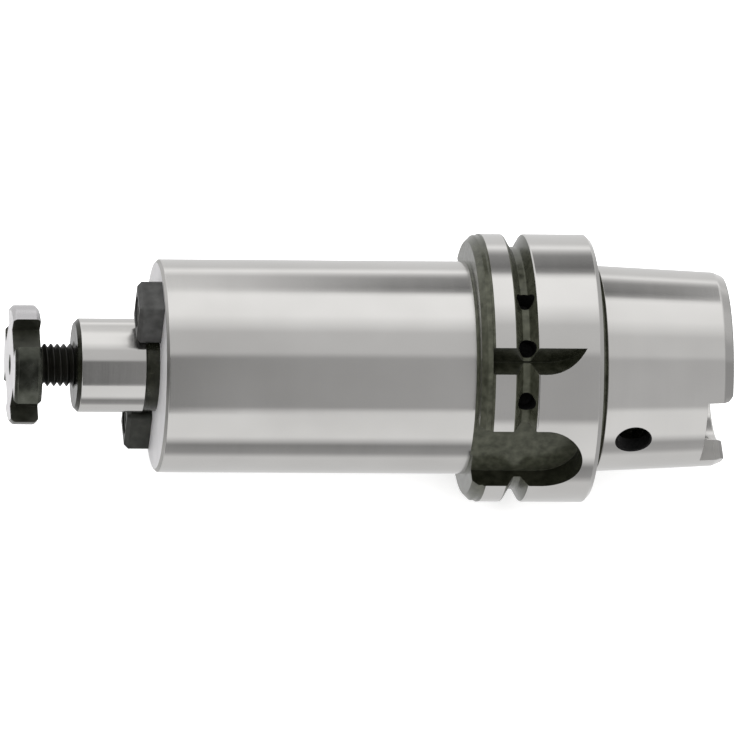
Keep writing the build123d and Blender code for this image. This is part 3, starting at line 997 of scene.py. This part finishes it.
# The keys share one blackened steel; the lower key's copy is darker, painted shade from the pilot and
# body over it.
upper_key_black = black_oxide("black_oxide_key_upper", (0.030, 0.030, 0.029), (0.062, 0.062, 0.060), 0.3)
lower_key_painted_shade = black_oxide("black_oxide_key_lower_painted_shade", (0.010, 0.011, 0.008), (0.030, 0.031, 0.025), 0.3)
screw_black = black_oxide("black_oxide_screw", (0.010, 0.011, 0.007), (0.036, 0.037, 0.028), 0.12)
# The thread's copy is darker than the screw's: painted shade in the gap between the head and the pilot.
thread_black_and_shade = black_oxide("black_oxide_thread_painted_shade", (0.003, 0.003, 0.002), (0.012, 0.012, 0.009), 0.05)
rubber = seal_rubber()

arbor_body = build_arbor_body([ground, unground, turned_finish, milled, satin, drilled])
dress(arbor_body, "arbor_body")
for side, side_name, key_black in ((1.0, "upper", upper_key_black), (-1.0, "lower", lower_key_painted_shade)):
    key = build_drive_key(f"drive_key_{side_name}_dressed", side, [key_black])
    dress(key, f"drive_key_{side_name}")
    key_screw = build_key_screw(f"key_screw_{side_name}_dressed", side, [screw_black])
    dress(key_screw, f"key_screw_{side_name}")
screw, screw_thread = build_retaining_screw([screw_black, polished, satin], [thread_black_and_shade])
dress(screw, "retaining_screw")
dress(screw_thread, "retaining_screw")
dress(build_coolant_tube([turned_finish]), "coolant_tube")
dress(build_coolant_nut([turned_finish]), "coolant_nut")
for seal_name, seal_position in SEAL_POSITIONS.items():
    seal = build_seal(f"coolant_seal_{seal_name}_dressed", seal_position, [rubber])
    dress(seal, f"coolant_seal_{seal_name}")

# Camera: level with the middle of the arbor, 45 degrees up, turned a little
# towards the cutter end and rolled so that the axis lies across the picture
CAMERA_TARGET = Vector((-51.65, -0.18, -0.18)) * MM
CAMERA_DISTANCE = 3.4
CAMERA_ELEVATION = math.radians(44.9)
CAMERA_TURN = math.radians(7.4)
CAMERA_ROLL = math.radians(0.36)
CAMERA_FOCAL = 708.0
CAMERA_SENSOR = 36.0
CAMERA_NEAR = 0.05
CAMERA_FAR = 20.0


def add_camera():
    """The camera at the photograph's viewing angle."""
    data = bpy.data.cameras.new("photo_camera")
    data.lens = CAMERA_FOCAL
    data.sensor_width = CAMERA_SENSOR
    data.clip_start = CAMERA_NEAR
    data.clip_end = CAMERA_FAR
    camera = bpy.data.objects.new("photo_camera", data)
    level = -math.cos(CAMERA_TURN) * math.cos(CAMERA_ELEVATION)
    height = math.cos(CAMERA_TURN) * math.sin(CAMERA_ELEVATION)
    towards = Vector((-math.sin(CAMERA_TURN), level, height))
    along = Vector((1.0, 0.0, 0.0))
    right = (along - towards * along.dot(towards)).normalized()
    up = towards.cross(right)
    rolled_right = right * math.cos(CAMERA_ROLL) + up * math.sin(CAMERA_ROLL)
    rolled_up = towards.cross(rolled_right)
    rotation = Matrix((rolled_right, rolled_up, towards)).transposed().to_4x4()
    camera.matrix_world = Matrix.Translation(CAMERA_TARGET + towards * CAMERA_DISTANCE) @ rotation
    bpy.context.scene.collection.objects.link(camera)
    bpy.context.scene.camera = camera


# The studio as the steel sees it: brightness by the angle round X, in degrees
# from level in front (-Y) over the top, with soft panels and a few dark gaps
STUDIO = (
    (-180.0, 0.80),
    (-105.0, 0.72),
    (-72.0, 0.76),
    (-63.0, 0.36),
    (-50.0, 0.28),
    (-44.0, 0.66),
    (-38.0, 0.96),
    (-6.0, 0.90),
    (0.0, 0.44),
    (54.0, 0.42),
    (60.0, 0.66),
    (82.0, 0.68),
    (89.0, 0.88),
    (102.0, 1.18),
    (130.0, 1.22),
    (140.0, 0.95),
    (160.0, 0.84),
    (171.0, 1.18),
    (180.0, 0.80),
)

# The world is brighter towards the taper's side and darker near both ends of
# the axis: the X of a direction where a change starts and ends, and its strength
TAPER_GLOW_START = 0.15
TAPER_GLOW_END = 0.22
TAPER_GLOW = 0.36
LEFT_SHADE_START = -0.84
LEFT_SHADE_END = -0.96
LEFT_SHADE = 0.25
RIGHT_SHADE_START = 0.32
RIGHT_SHADE_END = 0.62
RIGHT_SHADE = 0.58

# Dark cards: (x, density) stops in millimetres and (angle, density) stops in degrees
CARD_RADIUS = 400.0
CARD_STEPS = 48
UPPER_CARD_TONE = 0.20
UPPER_CARD_ALONG = ((-45.0, 0.0), (-16.0, 0.6), (12.0, 1.0), (100.0, 1.0), (125.0, 0.55))
UPPER_CARD_AROUND = (
    (125.0, 0.0),
    (129.0, 0.25),
    (133.0, 0.85),
    (139.0, 1.0),
    (154.0, 0.82),
    (160.0, 0.5),
    (168.0, 0.0),
)
CUTTER_CARD_TONE = 0.12
CUTTER_CARD_ALONG = ((-300.0, 1.0), (-66.0, 1.0), (-54.0, 0.1), (-30.0, 0.0))
CUTTER_CARD_AROUND = ((-8.0, 0.0), (-4.0, 1.0), (52.0, 1.0), (57.0, 0.0))

# Floor, in metres, and the soft light on it
FLOOR_HALF_SIZE = 4.0
FLOOR_CELLS = 8
WHITE = (1.0, 1.0, 1.0, 1.0)
SUN_STRENGTH = 2.4
SUN_DIRECTION = (-0.1, -0.5, 1.0)
SUN_SPREAD = math.radians(70.0)


def angle_round_axis(nodes, split):
    """The angle of a place or direction round X, in radians from -Y towards +Z."""
    front = nodes.math("MULTIPLY", split.outputs["Y"], -1.0)
    return nodes.math("ARCTAN2", split.outputs["Z"], front)


def build_world():
    """The studio round the arbor, and a plain white for what the camera sees past the floor."""
    world = bpy.data.worlds.new("studio")
    bpy.context.scene.world = world
    world.use_nodes = True
    nodes = Nodes(world.node_tree)
    background = world.node_tree.nodes["Background"]
    split = nodes.add("ShaderNodeSeparateXYZ")
    nodes.link(nodes.add("ShaderNodeTexCoord").outputs["Generated"], split.inputs[0])
    share = nodes.math("MULTIPLY_ADD", angle_round_axis(nodes, split), 1.0 / (2.0 * math.pi))
    share.node.inputs[2].default_value = 0.5
    studio = nodes.ramp(share, [(degrees / 360.0 + 0.5, tone) for degrees, tone in STUDIO])
    sideways = split.outputs["X"]
    glow = nodes.span(sideways, TAPER_GLOW_START, TAPER_GLOW_END, 0.0, TAPER_GLOW)
    left = nodes.span(sideways, LEFT_SHADE_START, LEFT_SHADE_END, 1.0, LEFT_SHADE)
    right = nodes.span(sideways, RIGHT_SHADE_START, RIGHT_SHADE_END, 1.0, RIGHT_SHADE)
    lit = nodes.mix("SCREEN", 1.0, studio, glow)
    shaded = nodes.mix("MULTIPLY", 1.0, lit, nodes.math("MULTIPLY", left, right))
    seen = nodes.add("ShaderNodeLightPath").outputs["Is Camera Ray"]
    nodes.link(nodes.mix("MIX", seen, shaded, WHITE), background.inputs["Color"])


def build_floor():
    """A pale floor under the flange, left out of the steel's reflections."""
    mesh = bmesh.new()
    bmesh.ops.create_grid(mesh, x_segments=FLOOR_CELLS, y_segments=FLOOR_CELLS, size=FLOOR_HALF_SIZE)
    for vertex in mesh.verts:
        vertex.co.z = -FLANGE_RADIUS * MM
    floor = make_piece("floor", mesh, [floor_material()])
    floor.visible_glossy = False


def stops_ramp(nodes, value, stops):
    """A ramp over stops in the value's own unit, with the share of the range that it needs."""
    first = stops[0][0]
    span = stops[-1][0] - first
    share = nodes.math("DIVIDE", nodes.math("SUBTRACT", value, first), span)
    return nodes.ramp(share, [((place - first) / span, tone) for place, tone in stops])


def card_material(name, tone, along, around):
    """A dark, see-through emission whose density follows the stops along X and round it."""
    material = bpy.data.materials.new(name)
    material.use_nodes = True
    nodes = Nodes(material.node_tree)
    material.node_tree.nodes.remove(material.node_tree.nodes["Principled BSDF"])
    split = nodes.add("ShaderNodeSeparateXYZ")
    nodes.link(nodes.add("ShaderNodeTexCoord").outputs["Object"], split.inputs[0])
    position = nodes.math("DIVIDE", split.outputs["X"], MM)
    angle = nodes.math("DIVIDE", angle_round_axis(nodes, split), math.radians(1.0))
    density_along = stops_ramp(nodes, position, along)
    density = nodes.math("MULTIPLY", density_along, stops_ramp(nodes, angle, around))
    dark = nodes.add("ShaderNodeEmission")
    dark.inputs["Color"].default_value = (tone, tone, tone, 1.0)
    mix = nodes.add("ShaderNodeMixShader")
    nodes.link(density, mix.inputs[0])
    nodes.link(nodes.add("ShaderNodeBsdfTransparent").outputs[0], mix.inputs[1])
    nodes.link(dark.outputs[0], mix.inputs[2])
    nodes.link(mix.outputs[0], material.node_tree.nodes["Material Output"].inputs["Surface"])
    return material


def card_mesh(along, around):
    """An arc round X that spans the stops of a card."""
    mesh = bmesh.new()
    first_angle = around[0][0]
    step_angle = (around[-1][0] - first_angle) / CARD_STEPS
    rows = []
    for x in (along[0][0], along[-1][0]):
        row = []
        for step in range(CARD_STEPS + 1):
            turn = math.radians(first_angle + step * step_angle)
            place = Vector((x, -CARD_RADIUS * math.cos(turn), CARD_RADIUS * math.sin(turn)))
            row.append(mesh.verts.new(place * MM))
        rows.append(row)
    for step in range(CARD_STEPS):
        mesh.faces.new((rows[0][step], rows[0][step + 1], rows[1][step + 1], rows[1][step]))
    return mesh


def add_card(name, tone, along, around):
    """A dark card that only the steel reflects, with (x, density) and (angle, density) stops."""
    material = card_material(name, tone, along, around)
    card = make_piece(name, card_mesh(along, around), [material])
    card.visible_camera = False
    card.visible_diffuse = False
    card.visible_shadow = False
    card.visible_transmission = False


def add_sun():
    """A soft light on the floor that leaves no spot on the steel."""
    data = bpy.data.lights.new("soft_top", "SUN")
    data.energy = SUN_STRENGTH
    data.angle = SUN_SPREAD
    light = bpy.data.objects.new("soft_top", data)
    light.rotation_euler = (-Vector(SUN_DIRECTION)).to_track_quat("-Z", "Y").to_euler()
    light.visible_glossy = False
    bpy.context.scene.collection.objects.link(light)


add_camera()
build_world()
build_floor()
add_card("card_over_flange", UPPER_CARD_TONE, UPPER_CARD_ALONG, UPPER_CARD_AROUND)
add_card("card_at_cutter_end", CUTTER_CARD_TONE, CUTTER_CARD_ALONG, CUTTER_CARD_AROUND)
add_sun()
bpy.context.scene.view_settings.view_transform = "Standard"
